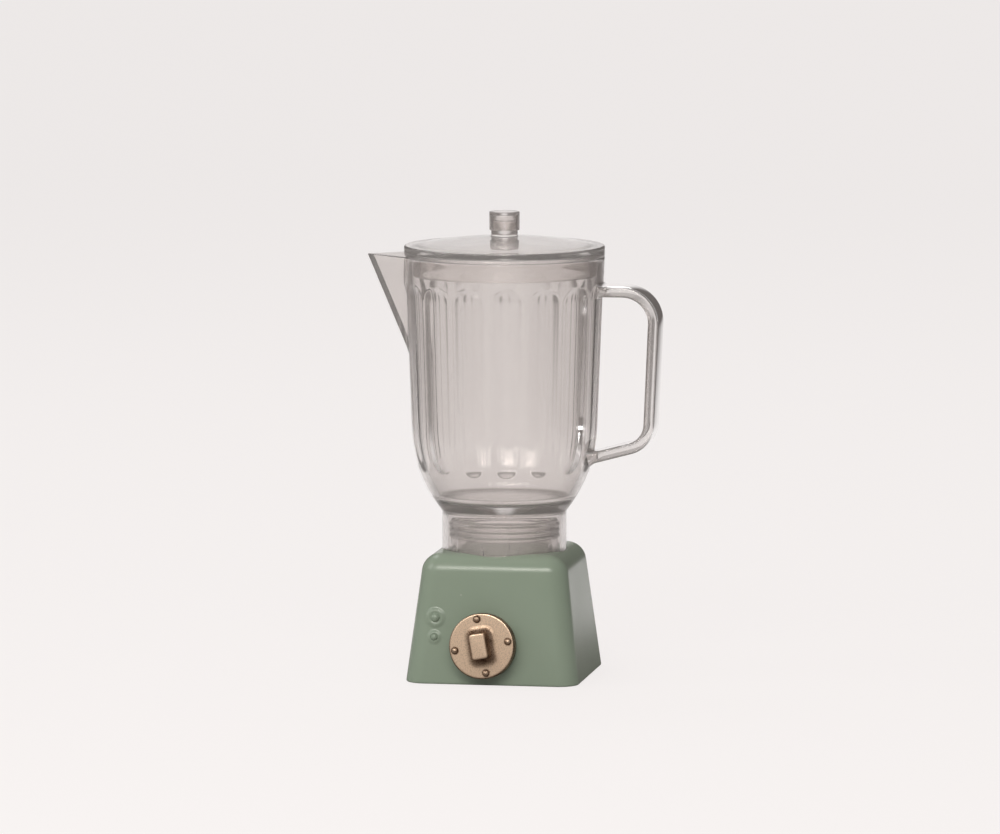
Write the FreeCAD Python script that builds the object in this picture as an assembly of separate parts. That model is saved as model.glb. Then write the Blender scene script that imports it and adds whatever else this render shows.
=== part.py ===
import FreeCAD, Part
import math
import os

# Toy blender: a square painted base, a clear fluted jug that lifts off it, and a clear lid with a knob.
# Millimetres. The origin is the centre of the underside, the front faces -Y, the spout points to -X.

Vector = FreeCAD.Vector

# Painted base
base_height = 20.3
base_half_width = 13.9
side_lean = 7.0                # degrees that each of the four sides leans in
corner_radius = 3.2
shoulder_radius = 3.1
housing_wall = 1.3
top_wall = 2.4
seat_depth = 0.35              # shallow round seat for the jug's skirt
seat_clearance = 0.15

# Underside of the base
plate_thickness = 1.5
plate_clearance = 0.12
plate_boss_radius = 1.6
plate_boss_height = 4.9
plate_boss_inset = 2.1         # from the inside of the wall to the boss's axis
plate_screw_length = 5.0
plate_head_sink = 0.15

# Small screws
screw_head_radius = 1.0
screw_head_height = 0.6
screw_shank_radius = 0.5
screw_slot_width = 0.25
screw_slot_depth = 0.3

# Clear spigot that carries the jug
spigot_height = 5.05           # above the jug's seat
spigot_radius = 8.5
spigot_wall = 1.1
spigot_flange = 1.0
spigot_flange_round = 2.8
spigot_bead_height = 0.35
spigot_bead_pitch = 0.9
spigot_bead_count = 3
spigot_bead_drop = 0.8         # from the spigot's top edge to the first bead
spigot_rib_count = 9
spigot_rib_width = 0.6
spigot_rib_height = 1.3
spigot_hole_clearance = 0.1
spigot_screw_margin = 1.4      # from the jug's neck out to each screw, along the diagonal
spigot_screw_edge = 0.55
spigot_screw_bite = 1.8

# Dial on the front
dial_x = -0.9
dial_z = 6.2
dial_turn = 11.0               # degrees anticlockwise as it is seen from the front
dial_radius = 5.2
dial_thickness = 2.45
dial_edge_round = 0.3
rivet_circle_radius = 4.3
rivet_dome_radius = 0.55
rivet_dome_height = 0.45
rivet_shank_radius = 0.3
rivet_count = 4
toggle_width = 2.45
toggle_length = 4.0
toggle_height = 3.1
toggle_round = 0.35
toggle_flare = 1.3
toggle_corner = 0.4
spindle_radius = 1.0
spindle_clearance = 0.08
spindle_embed = 1.8            # length held in the disc
spindle_tail = 0.7
friction_washer_radius = 3.6
friction_washer_thickness = 0.3
running_gap = 0.05
dial_boss_radius = 2.4
dial_boss_length = 2.0
cone_washer_radius = 2.2
cone_washer_height = 0.55
cone_washer_thickness = 0.25
clip_radius = 2.1
clip_thickness = 0.4
clip_mouth = 1.1
clip_groove_depth = 0.25

# Two domed studs on low pads beside the dial
upper_stud_x = -8.85
upper_stud_z = 10.45
upper_dome_radius = 0.65
upper_dome_height = 0.5
upper_pad_radius = 1.7
lower_stud_x = -8.97
lower_stud_z = 7.4
lower_dome_radius = 0.47
lower_dome_height = 0.4
lower_pad_radius = 1.25
stud_pad_height = 0.25
stud_pad_slope = 0.45          # run of a pad's sloping edge
stud_shank_radius = 0.35
stud_clinch_radius = 0.6
stud_clinch_height = 0.25

# Jug
neck_radius = 9.9
neck_wall = 0.85
neck_height = 6.25
bowl_turn_height = 13.8        # height of the rounded bottom
bowl_turn_radius = 14.95
wall_height = 26.9             # from the rounded bottom up to the rim
wall_widening = 1.0            # how much wider the rim is than the rounded bottom
rim_radius = bowl_turn_radius + wall_widening
jug_wall = 1.1
jug_floor = 1.2
floor_rise = 0.8               # from the neck's top corner up to the floor's underside
flute_count = 16
flute_depth = 0.35
flute_curve_radius = 22.0
flute_bottom_gap = 7.0         # from the neck's top corner up to the flutes
flute_top_gap = 4.4            # from the flutes up to the rim
flute_end_slope = 1.2

# Pointed spout
spout_reach = 22.2
spout_height = 16.6
spout_spread = 22.0            # degrees each side of the point where it leaves the bowl
spout_wall = 0.8
spout_edge_round = 0.35

# Strap handle
handle_reach = 25.4
strap_width = 5.8
strap_thickness = 1.75
strap_edge_round = 0.5
upper_arm_drop = 5.3           # from the rim down to the middle of the upper arm
lower_root_height = 8.8        # from the neck's top corner up to the lower root
lower_arm_rise = 15.0
upper_bend_radius = 5.0
lower_bend_radius = 4.0
grip_lean = 2.5                # degrees that the grip leans in towards its foot
handle_sink = 0.5

# Lid
lid_flange = 1.7
lid_edge_round = 0.35
lid_rise = 1.4
lid_dome_inset = 1.6
lid_wall = 1.2
plug_depth = 3.0
plug_wall = 1.1
plug_clearance = 0.15
pedestal_radius = 2.1
pedestal_height = 1.0
peg_radius = 1.8
peg_height = 1.5
knob_radius = 2.4
knob_height = 2.95
knob_wall = 0.5
knob_clearance = 0.05
knob_edge_round = 0.15

# Places that follow from the sizes
lean_tangent = math.tan(math.radians(side_lean))
lean_cosine = math.cos(math.radians(side_lean))
front_normal = Vector(0, -lean_cosine, math.sin(math.radians(side_lean)))
seat_z = base_height - seat_depth
ceiling_z = base_height - top_wall
neck_top_z = seat_z + neck_height
bowl_turn_z = neck_top_z + bowl_turn_height
rim_z = bowl_turn_z + wall_height
spigot_top_z = seat_z + spigot_height
spigot_bead_radius = spigot_radius + spigot_bead_height
spigot_screw_place = (neck_radius + spigot_screw_margin) / math.sqrt(2)
spigot_flange_half = spigot_screw_place + screw_head_radius + spigot_screw_edge
dial_back = friction_washer_thickness + running_gap
dial_face = dial_back + dial_thickness
boss_end = -(housing_wall + dial_boss_length)
clip_front = boss_end - cone_washer_height - running_gap
plug_radius = rim_radius - jug_wall - plug_clearance - wall_widening * plug_depth / wall_height
lid_top_z = rim_z + lid_flange
knob_z = lid_top_z + lid_rise + pedestal_height


def half_width(z):
    """Half the base's width, from its axis to the flat of a side, at height z."""
    return base_half_width - z * lean_tangent


def inner_half_width(z):
    """The same to the inside of the wall."""
    return half_width(z) - housing_wall / lean_cosine


def on_front(x, z):
    """Point of the front face at that x and height."""
    return Vector(x, -half_width(z), z)


def placed_on_front(shape, x, z, turn=0.0):
    """Moves a shape from its own frame, +Z outward, to a place on the leaning front face."""
    moved = shape.copy()
    facing = FreeCAD.Rotation(Vector(0, 0, 1), front_normal)
    spin = FreeCAD.Rotation(Vector(0, 0, 1), turn)
    place = FreeCAD.Placement(on_front(x, z), facing.multiply(spin))
    moved.Placement = place.multiply(shape.Placement)
    return moved


def cylinder(radius, z_low, z_high, x=0.0, y=0.0):
    return Part.makeCylinder(radius, z_high - z_low, Vector(x, y, z_low))


def ring(inner_radius, outer_radius, z_low, z_high):
    return cylinder(outer_radius, z_low, z_high).cut(cylinder(inner_radius, z_low, z_high))


def outline(start, steps):
    """Closed face in the XZ plane. A step is a point, or a pair (point on the arc, end of the arc)."""
    edges = []
    here = Vector(start[0], 0, start[1])
    first = here
    for step in steps:
        if isinstance(step[0], tuple):
            through = Vector(step[0][0], 0, step[0][1])
            there = Vector(step[1][0], 0, step[1][1])
            edges.append(Part.Arc(here, through, there).toShape())
        else:
            there = Vector(step[0], 0, step[1])
            edges.append(Part.LineSegment(here, there).toShape())
        here = there
    edges.append(Part.LineSegment(here, first).toShape())
    return Part.Face(Part.Wire(edges))


def turned(start, steps):
    """Body of revolution about the upright axis."""
    return outline(start, steps).revolve(Vector(0, 0, 0), Vector(0, 0, 1), 360)


def rounded_rectangle(half_x, half_y, radius, z):
    """Closed wire of a rectangle with round corners, level at height z."""
    edges = []
    for quarter in range(4):
        turn = FreeCAD.Rotation(Vector(0, 0, 1), 90 * quarter)
        along, across = (half_x, half_y) if quarter % 2 == 0 else (half_y, half_x)
        diagonal = radius * (1 - math.sqrt(0.5))
        low = turn.multVec(Vector(along, -(across - radius), z))
        high = turn.multVec(Vector(along, across - radius, z))
        middle = turn.multVec(Vector(along - diagonal, across - diagonal, z))
        end = turn.multVec(Vector(along - radius, across, z))
        edges.append(Part.LineSegment(low, high).toShape())
        edges.append(Part.Arc(high, middle, end).toShape())
    return Part.Wire(edges)


def rounded_block(half_x, half_y, radius, z_low, z_high):
    face = Part.Face(rounded_rectangle(half_x, half_y, radius, z_low))
    return face.extrude(Vector(0, 0, z_high - z_low))


def frustum(half_low, half_high, z_low, z_high):
    """Square block whose four flat sides lean in."""
    corners = [(-1, -1), (1, -1), (1, 1), (-1, 1)]
    low = [Vector(x * half_low, y * half_low, z_low) for x, y in corners]
    high = [Vector(x * half_high, y * half_high, z_high) for x, y in corners]
    loops = [low[::-1], high]
    for k in range(4):
        after = (k + 1) % 4
        loops.append([low[k], low[after], high[after], high[k]])
    faces = [Part.Face(Part.makePolygon(loop + [loop[0]])) for loop in loops]
    return Part.Solid(Part.Shell(faces))


def leaning_edges(shape):
    """The four edges between the sides of a frustum."""
    return [edge for edge in shape.Edges if abs(edge.Vertexes[0].Z - edge.Vertexes[1].Z) > 1.0]


def edges_at(shape, z):
    """Edges that lie level at height z."""
    return [edge for edge in shape.Edges if abs(edge.BoundBox.ZMin - z) < 0.001 and edge.BoundBox.ZLength < 0.001]


def screw(length):
    """Cross-slot screw in its own frame: the head's top faces -Z, the shank runs up from z = 0."""
    head = cylinder(screw_head_radius, -screw_head_height, 0)
    shank = cylinder(screw_shank_radius, 0, length)
    point = Part.makeCone(screw_shank_radius, 0.05, screw_shank_radius, Vector(0, 0, length))
    body = head.fuse([shank, point])
    for turn in (0, 90):
        slot = Part.makeBox(
            1.3 * screw_head_radius,
            screw_slot_width,
            screw_slot_depth,
            Vector(-0.65 * screw_head_radius, -screw_slot_width / 2, -screw_head_height),
        )
        slot.rotate(Vector(0, 0, 0), Vector(0, 0, 1), turn)
        body = body.cut(slot)
    return body


def domed_pin(dome_radius, dome_height, shank_radius, shank_length):
    """Rivet in its own frame: the dome stands on z = 0, the shank runs down."""
    sphere_radius = (dome_radius ** 2 + dome_height ** 2) / (2 * dome_height)
    sphere = Part.makeSphere(sphere_radius, Vector(0, 0, dome_height - sphere_radius))
    dome = sphere.common(cylinder(dome_radius, 0, dome_height + sphere_radius))
    return dome.fuse(cylinder(shank_radius, -shank_length, 0))


def corner_places(place):
    return [(x * place, y * place) for x in (-1, 1) for y in (-1, 1)]


def group(solids):
    return Part.makeCompound(solids)


# Where the corner bosses of the base stand
boss_place = inner_half_width(plate_thickness) - plate_boss_inset


def base_housing():
    """Painted shell: leaning sides, round corners and shoulder, open underneath."""
    outer = frustum(half_width(0), half_width(base_height), 0, base_height)
    outer = outer.makeFillet(corner_radius, leaning_edges(outer))
    outer = outer.makeFillet(min(shoulder_radius, 0.97 * corner_radius), edges_at(outer, base_height))
    below = -1.0
    cavity = frustum(inner_half_width(below), inner_half_width(ceiling_z), below, ceiling_z)
    cavity = cavity.makeFillet(max(corner_radius - housing_wall, 0.4), leaning_edges(cavity))
    shell = outer.cut(cavity)
    bosses = [
        cylinder(plate_boss_radius, plate_thickness, plate_thickness + plate_boss_height, x, y)
        for x, y in corner_places(boss_place)
    ]
    dial_boss = cylinder(dial_boss_radius, boss_end, -housing_wall / 2)
    bosses.append(placed_on_front(dial_boss, dial_x, dial_z))
    shell = shell.fuse(bosses)
    seat = cylinder(neck_radius + seat_clearance, seat_z, base_height + 1)
    hole = cylinder(spigot_bead_radius + spigot_hole_clearance, ceiling_z - 1, base_height)
    bore = cylinder(spindle_radius + spindle_clearance, boss_end - 1, 1)
    cuts = [seat, hole, placed_on_front(bore, dial_x, dial_z)]
    for x, y in corner_places(boss_place):
        cuts.append(cylinder(screw_shank_radius, 0, plate_thickness + plate_screw_length, x, y))
    for x, y in corner_places(spigot_screw_place):
        cuts.append(cylinder(screw_shank_radius, ceiling_z - 1, ceiling_z + spigot_screw_bite, x, y))
    for x, z in ((upper_stud_x, upper_stud_z), (lower_stud_x, lower_stud_z)):
        cuts.append(placed_on_front(cylinder(stud_shank_radius, -2 * housing_wall, 0), x, z))
    return shell.cut(cuts)


def base_plate():
    """Flat plate that closes the underside, flush with the rim of the housing."""
    half = inner_half_width(plate_thickness) - plate_clearance
    radius = max(corner_radius - housing_wall, 0.4)
    plate = rounded_block(half, half, radius, 0, plate_thickness)
    sink = plate_head_sink + screw_head_height
    for x, y in corner_places(boss_place):
        plate = plate.cut(cylinder(screw_head_radius, 0, sink, x, y))
        plate = plate.cut(cylinder(screw_shank_radius, 0, plate_thickness, x, y))
    return plate


def base_plate_screws():
    screws = []
    for x, y in corner_places(boss_place):
        piece = screw(plate_screw_length - plate_head_sink)
        piece.translate(Vector(x, y, plate_head_sink + screw_head_height))
        screws.append(piece)
    return group(screws)


def jug_spigot():
    """Clear cup that stands through the base's top: beads hold the jug's skirt, a square flange is screwed inside."""
    flange_z = ceiling_z - spigot_flange
    flange = rounded_block(spigot_flange_half, spigot_flange_half, spigot_flange_round, flange_z, ceiling_z)
    tube = cylinder(spigot_radius, flange_z, spigot_top_z)
    spigot = flange.fuse(tube)
    for k in range(spigot_bead_count):
        bead_z = spigot_top_z - spigot_bead_drop - k * spigot_bead_pitch
        half = spigot_bead_height
        spigot = spigot.fuse(turned(
            (spigot_radius - spigot_wall / 2, bead_z - half),
            [(spigot_radius, bead_z - half), ((spigot_bead_radius, bead_z), (spigot_radius, bead_z + half)),
             (spigot_radius - spigot_wall / 2, bead_z + half)],
        ))
    for k in range(spigot_rib_count):
        rib = Part.makeBox(
            spigot_bead_radius - spigot_radius + spigot_wall / 2,
            spigot_rib_width,
            spigot_rib_height,
            Vector(spigot_radius - spigot_wall / 2, -spigot_rib_width / 2, seat_z),
        )
        rib.rotate(Vector(0, 0, 0), Vector(0, 0, 1), 360.0 * k / spigot_rib_count - 64.0)
        spigot = spigot.fuse(rib)
    spigot = spigot.cut(cylinder(spigot_radius - spigot_wall, ceiling_z, spigot_top_z + 1))
    for x, y in corner_places(spigot_screw_place):
        spigot = spigot.cut(cylinder(screw_shank_radius, flange_z - 1, ceiling_z + 1, x, y))
    return spigot.removeSplitter()


def spigot_screws():
    screws = []
    for x, y in corner_places(spigot_screw_place):
        piece = screw(spigot_flange + spigot_screw_bite - screw_shank_radius)
        piece.translate(Vector(x, y, ceiling_z - spigot_flange))
        screws.append(piece)
    return group(screws)


def dial_disc():
    """Turned disc with round edges, holes for four rivets and a blind bore for the spindle."""
    flat = dial_radius - dial_edge_round
    bulge = dial_radius - dial_edge_round * (1 - math.sqrt(0.5))
    inset = dial_edge_round * (1 - math.sqrt(0.5))
    disc = turned(
        (0, dial_back),
        [(flat, dial_back),
         ((bulge, dial_back + inset), (dial_radius, dial_back + dial_edge_round)),
         (dial_radius, dial_face - dial_edge_round),
         ((bulge, dial_face - inset), (flat, dial_face)),
         (0, dial_face)],
    )
    disc = disc.cut(cylinder(spindle_radius, dial_back, dial_back + spindle_embed))
    for k in range(rivet_count):
        angle = math.radians(90 + 360.0 * k / rivet_count)
        x = rivet_circle_radius * math.cos(angle)
        y = rivet_circle_radius * math.sin(angle)
        disc = disc.cut(cylinder(rivet_shank_radius, dial_back, dial_face, x, y))
    return placed_on_front(disc, dial_x, dial_z, dial_turn)


def dial_rivets():
    rivets = []
    for k in range(rivet_count):
        angle = math.radians(90 + 360.0 * k / rivet_count)
        piece = domed_pin(rivet_dome_radius, rivet_dome_height, rivet_shank_radius, dial_thickness)
        piece.translate(Vector(rivet_circle_radius * math.cos(angle), rivet_circle_radius * math.sin(angle), dial_face))
        rivets.append(placed_on_front(piece, dial_x, dial_z, dial_turn))
    return group(rivets)


def dial_toggle():
    """Upright grip with a foot that flares out onto the disc in a hollow curve."""
    sections = []
    for k in range(5):
        angle = math.radians(90 * k / 4)
        spread = toggle_flare * (1 - math.sin(angle))
        height = toggle_flare * (1 - math.cos(angle))
        sections.append(rounded_rectangle(
            toggle_width / 2 + spread,
            toggle_length / 2 + spread,
            toggle_corner + spread,
            dial_face + height,
        ))
    foot = Part.makeLoft(sections, True, True)
    top = dial_face + toggle_height
    grip = rounded_block(toggle_width / 2, toggle_length / 2, toggle_corner, dial_face, top)
    grip = grip.makeFillet(toggle_round, edges_at(grip, top))
    return placed_on_front(grip.fuse(foot), dial_x, dial_z, dial_turn)


def dial_spindle():
    """Shaft held in the disc, with a groove for the clip at its inner end."""
    end = clip_front - clip_thickness - spindle_tail
    shaft = cylinder(spindle_radius, end, dial_back + spindle_embed)
    groove = ring(spindle_radius - clip_groove_depth, spindle_radius + 1, clip_front - clip_thickness, clip_front)
    return placed_on_front(shaft.cut(groove), dial_x, dial_z, dial_turn)


def dial_clip():
    """Spring clip that snaps into the spindle's groove."""
    clip = ring(spindle_radius - clip_groove_depth, clip_radius, clip_front - clip_thickness, clip_front)
    mouth = Part.makeBox(
        clip_mouth,
        clip_radius + 1,
        clip_thickness + 1,
        Vector(-clip_mouth / 2, -clip_radius - 1, clip_front - clip_thickness - 0.5),
    )
    return placed_on_front(clip.cut(mouth), dial_x, dial_z, dial_turn)


def friction_washer():
    """Thin washer between the base's front and the disc."""
    washer = ring(spindle_radius + spindle_clearance, friction_washer_radius, 0, friction_washer_thickness)
    return placed_on_front(washer, dial_x, dial_z)


def cone_washer():
    """Dished spring washer between the boss and the clip."""
    low = spindle_radius + spindle_clearance
    far = boss_end - cone_washer_height
    washer = turned(
        (low, far),
        [(cone_washer_radius, boss_end - cone_washer_thickness), (cone_washer_radius, boss_end),
         (low, far + cone_washer_thickness)],
    )
    return placed_on_front(washer, dial_x, dial_z)


def front_stud(dome_radius, dome_height, pad_radius, x, z):
    """Dome on a low pad with a sloping edge, its shank clinched on the inside of the wall."""
    pad = Part.makeCone(pad_radius, pad_radius - stud_pad_slope, stud_pad_height)
    pin = domed_pin(dome_radius, dome_height, stud_shank_radius, housing_wall + stud_pad_height)
    pin.translate(Vector(0, 0, stud_pad_height))
    clinch = cylinder(stud_clinch_radius, -housing_wall - stud_clinch_height, -housing_wall)
    return placed_on_front(pin.fuse([pad, clinch]), x, z)


def wall_radius(z):
    """Outside radius of the bowl's straight wall at height z."""
    return bowl_turn_radius + wall_widening * (z - bowl_turn_z) / wall_height


def bowl_arc():
    """Centre and radius of the rounded bottom: it starts at the neck and runs smoothly into the wall."""
    slope = math.hypot(wall_widening, wall_height)
    inward = (-wall_height / slope, wall_widening / slope)
    back = (neck_radius - bowl_turn_radius, neck_top_z - bowl_turn_z)
    reach = (back[0] ** 2 + back[1] ** 2) / (2 * (back[0] * inward[0] + back[1] * inward[1]))
    centre = (bowl_turn_radius + reach * inward[0], bowl_turn_z + reach * inward[1])
    return centre, reach, inward


arc_centre, arc_reach, wall_inward = bowl_arc()


def arc_radius_at(z, offset):
    """Radius of the rounded bottom at height z, moved in by the offset."""
    return arc_centre[0] + math.sqrt((arc_reach - offset) ** 2 - (z - arc_centre[1]) ** 2)


def bowl_profile(z_low, offset, z_high):
    """Steps up the bowl's side from z_low to z_high, moved in by the offset: first the arc, then the wall."""
    turn = (bowl_turn_radius + offset * wall_inward[0], bowl_turn_z + offset * wall_inward[1])
    middle_z = (z_low + turn[1]) / 2
    start = (arc_radius_at(z_low, offset), z_low)
    middle = (arc_radius_at(middle_z, offset), middle_z)
    slope = wall_widening / wall_height
    end = (turn[0] + slope * (z_high - turn[1]), z_high)
    return start, [(middle, turn), end]


def flute_cutters():
    """One long hollow per flute, each turned about an upright axis that stands outside the jug."""
    low = neck_top_z + flute_bottom_gap
    high = rim_z - flute_top_gap
    start, steps = bowl_profile(low, flute_depth, high)
    outside = rim_radius + 1.5
    face = outline(
        (outside, low - flute_end_slope),
        [start] + steps + [(outside, high + flute_end_slope)],
    )
    axis_place = Vector(bowl_turn_radius + flute_curve_radius, 0, 0)
    half_angle = math.degrees(math.pi * rim_radius / flute_count * 1.1 / flute_curve_radius)
    face.rotate(axis_place, Vector(0, 0, 1), -half_angle)
    cutter = face.revolve(axis_place, Vector(0, 0, 1), 2 * half_angle)
    cutters = []
    for k in range(flute_count):
        copy = cutter.copy()
        copy.rotate(Vector(0, 0, 0), Vector(0, 0, 1), 360.0 * (k + 0.5) / flute_count)
        cutters.append(copy)
    return cutters


def spout_wedge(shift, stretch):
    """Three-sided wedge that widens upward from a point in the bowl's wall. It is moved in along X by the shift."""
    foot_z = rim_z - spout_height
    foot = Vector(-(wall_radius(foot_z) - jug_wall / 2) + shift, 0, foot_z)
    spread = math.radians(spout_spread)
    side_radius = rim_radius - jug_wall / 2
    tops = [
        Vector(-spout_reach + shift, 0, rim_z),
        Vector(-side_radius * math.cos(spread) + shift, -side_radius * math.sin(spread), rim_z),
        Vector(-side_radius * math.cos(spread) + shift, side_radius * math.sin(spread), rim_z),
    ]
    tops = [foot + (top - foot) * stretch for top in tops]
    loops = [tops]
    for k in range(3):
        loops.append([foot, tops[k], tops[(k + 1) % 3]])
    faces = [Part.Face(Part.makePolygon(loop + [loop[0]])) for loop in loops]
    return Part.Solid(Part.Shell(faces)), foot, tops[0]


def rounded_spout():
    wedge, foot, tip = spout_wedge(0.0, 1.0)
    edges = []
    for edge in wedge.Edges:
        ends = [vertex.Point for vertex in edge.Vertexes]
        if min(end.distanceToPoint(foot) for end in ends) < 0.001:
            if min(end.distanceToPoint(tip) for end in ends) < 0.001:
                edges.append(edge)
    return wedge.makeFillet(spout_edge_round, edges)


def handle_path():
    """Middle line of the strap, from inside the wall at the top round to inside the wall at the bottom."""
    half = strap_thickness / 2
    upper_z = rim_z - upper_arm_drop
    root_z = neck_top_z + lower_root_height
    outer_x = handle_reach - half
    rise = math.tan(math.radians(lower_arm_rise))
    lean = math.tan(math.radians(grip_lean))
    root_x = arc_radius_at(root_z, 0)
    start = Vector(root_x - jug_wall, 0, upper_z)
    corner_top = Vector(outer_x, 0, upper_z)
    # the lower corner lies on the grip's line and on the lower arm's line
    low_x = (outer_x - lean * (upper_z - root_z + rise * root_x)) / (1 - lean * rise)
    corner_low = Vector(low_x, 0, root_z + rise * (low_x - root_x))
    end = Vector(root_x - jug_wall, 0, root_z - rise * jug_wall)
    points = [start, corner_top, corner_low, end]
    edges = []
    here = start
    for k, radius in ((1, upper_bend_radius), (2, lower_bend_radius)):
        back = (points[k - 1] - points[k]).normalize()
        ahead = (points[k + 1] - points[k]).normalize()
        half_angle = back.getAngle(ahead) / 2
        run = radius / math.tan(half_angle)
        inward = (back + ahead).normalize()
        enter = points[k] + back * run
        leave = points[k] + ahead * run
        centre = points[k] + inward * (radius / math.sin(half_angle))
        middle = centre - inward * radius
        edges.append(Part.LineSegment(here, enter).toShape())
        edges.append(Part.Arc(enter, middle, leave).toShape())
        here = leave
    edges.append(Part.LineSegment(here, end).toShape())
    return Part.Wire(edges), start


def handle_strap():
    """Flat strap carried along its path. Its ends are not yet shaped to the jug."""
    path, start = handle_path()
    section = rounded_rectangle(strap_thickness / 2, strap_width / 2, strap_edge_round, 0)
    section.rotate(Vector(0, 0, 0), Vector(0, 1, 0), 90)
    section.translate(start)
    return path.makePipeShell([section], True, False)


def sunk_core():
    """The bowl, smaller all round by the depth that the handle's ends are let into it."""
    start, steps = bowl_profile(neck_top_z + floor_rise, handle_sink, rim_z)
    return turned((0, start[1]), [start] + steps + [(0, rim_z)])


def jug_handle():
    return handle_strap().cut(sunk_core())


def jug_body(handle):
    """Clear fluted bowl with its spout, floor and skirt, in one piece."""
    outer_start, outer_steps = bowl_profile(neck_top_z, 0, rim_z)
    outer = turned(
        (0, seat_z),
        [(neck_radius, seat_z), outer_start] + outer_steps + [(0, rim_z)],
    )
    outer = outer.cut(flute_cutters())
    outer = outer.fuse(rounded_spout())
    floor_z = neck_top_z + floor_rise + jug_floor
    above = rim_z + 1.0
    inner_start, inner_steps = bowl_profile(floor_z, jug_wall, above)
    cavity = turned((0, floor_z), [inner_start] + inner_steps + [(0, above)])
    channel = spout_wedge(spout_wall / math.sin(spout_point_angle()), 1.1)[0]
    skirt = cylinder(neck_radius - neck_wall, seat_z - 1, neck_top_z + floor_rise)
    return outer.cut([cavity, channel, skirt, handle])


def spout_point_angle():
    """Half of the angle between the spout's two sides, seen from above."""
    spread = math.radians(spout_spread)
    side_radius = rim_radius - jug_wall / 2
    return math.atan2(side_radius * math.sin(spread), spout_reach - side_radius * math.cos(spread))


def lid_cover():
    """Clear lid: round flange on the rim, plug inside it, low dome, and a peg for the knob."""
    flange_low = rim_z
    dome_radius = rim_radius - lid_dome_inset
    dome_z = lid_top_z + lid_rise
    reach = (dome_radius ** 2 + lid_rise ** 2) / (2 * lid_rise)
    middle = dome_radius / 2
    middle_z = dome_z - reach + math.sqrt(reach ** 2 - middle ** 2)
    pedestal_low = dome_z - reach + math.sqrt(reach ** 2 - pedestal_radius ** 2)
    diagonal = lid_edge_round * (1 - math.sqrt(0.5))
    inner = plug_radius - plug_wall
    ceiling = lid_top_z - lid_wall
    inner_dome = lid_rise * (inner / dome_radius) ** 2
    inner_reach = (inner ** 2 + inner_dome ** 2) / (2 * inner_dome)
    inner_middle_z = ceiling + inner_dome - inner_reach + math.sqrt(inner_reach ** 2 - (inner / 2) ** 2)
    return turned(
        (0, ceiling + inner_dome),
        [((inner / 2, inner_middle_z), (inner, ceiling)), (inner, flange_low - plug_depth),
         (plug_radius, flange_low - plug_depth), (plug_radius, flange_low), (rim_radius, flange_low),
         (rim_radius, lid_top_z - lid_edge_round),
         ((rim_radius - diagonal, lid_top_z - diagonal), (rim_radius - lid_edge_round, lid_top_z)),
         (dome_radius, lid_top_z), ((middle, middle_z), (pedestal_radius, pedestal_low)),
         (pedestal_radius, knob_z), (peg_radius, knob_z), (peg_radius, knob_z + peg_height),
         (0, knob_z + peg_height)],
    )


def lid_knob():
    """Hollow cap pushed over the lid's peg."""
    top = knob_z + knob_height
    cap = cylinder(knob_radius, knob_z, top)
    cap = cap.makeFillet(knob_edge_round, edges_at(cap, top))
    return cap.cut(cylinder(peg_radius + knob_clearance, knob_z, top - knob_wall))


def main():
    os.makedirs("parts", exist_ok=True)
    handle = jug_handle()
    nodes = {
        "base_housing": base_housing(),
        "base_plate": base_plate(),
        "base_plate_screws": base_plate_screws(),
        "jug_spigot": jug_spigot(),
        "spigot_screws": spigot_screws(),
        "upper_stud": front_stud(
            upper_dome_radius, upper_dome_height, upper_pad_radius, upper_stud_x, upper_stud_z),
        "lower_stud": front_stud(
            lower_dome_radius, lower_dome_height, lower_pad_radius, lower_stud_x, lower_stud_z),
        "dial_disc": dial_disc(),
        "dial_rivets": dial_rivets(),
        "dial_toggle": dial_toggle(),
        "dial_spindle": dial_spindle(),
        "dial_clip": dial_clip(),
        "friction_washer": friction_washer(),
        "cone_washer": cone_washer(),
        "jug_body": jug_body(handle),
        "jug_handle": handle,
        "lid_cover": lid_cover(),
        "lid_knob": lid_knob(),
    }
    for name, shape in nodes.items():
        shape.exportStep("parts/" + name + ".step")


main()
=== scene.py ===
import math

import bpy
import numpy as np
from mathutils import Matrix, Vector


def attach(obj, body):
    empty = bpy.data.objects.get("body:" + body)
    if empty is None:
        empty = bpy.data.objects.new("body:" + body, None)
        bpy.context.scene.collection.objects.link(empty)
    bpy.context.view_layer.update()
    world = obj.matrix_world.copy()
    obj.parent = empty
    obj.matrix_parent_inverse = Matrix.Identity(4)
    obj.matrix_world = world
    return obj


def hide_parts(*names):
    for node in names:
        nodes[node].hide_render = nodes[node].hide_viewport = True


# Toy blender: painted base with a metal dial, clear fluted jug on a clear spigot, clear lid.
# Sizes are written in millimetres and turned to metres where a mesh is made.

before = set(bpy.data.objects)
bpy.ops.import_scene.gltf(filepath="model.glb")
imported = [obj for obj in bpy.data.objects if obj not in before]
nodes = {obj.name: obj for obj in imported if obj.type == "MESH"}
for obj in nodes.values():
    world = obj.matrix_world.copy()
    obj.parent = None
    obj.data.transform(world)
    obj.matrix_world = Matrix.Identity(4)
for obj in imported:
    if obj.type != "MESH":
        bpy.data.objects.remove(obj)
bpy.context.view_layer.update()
millimetre = 0.001


# Meshes

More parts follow.
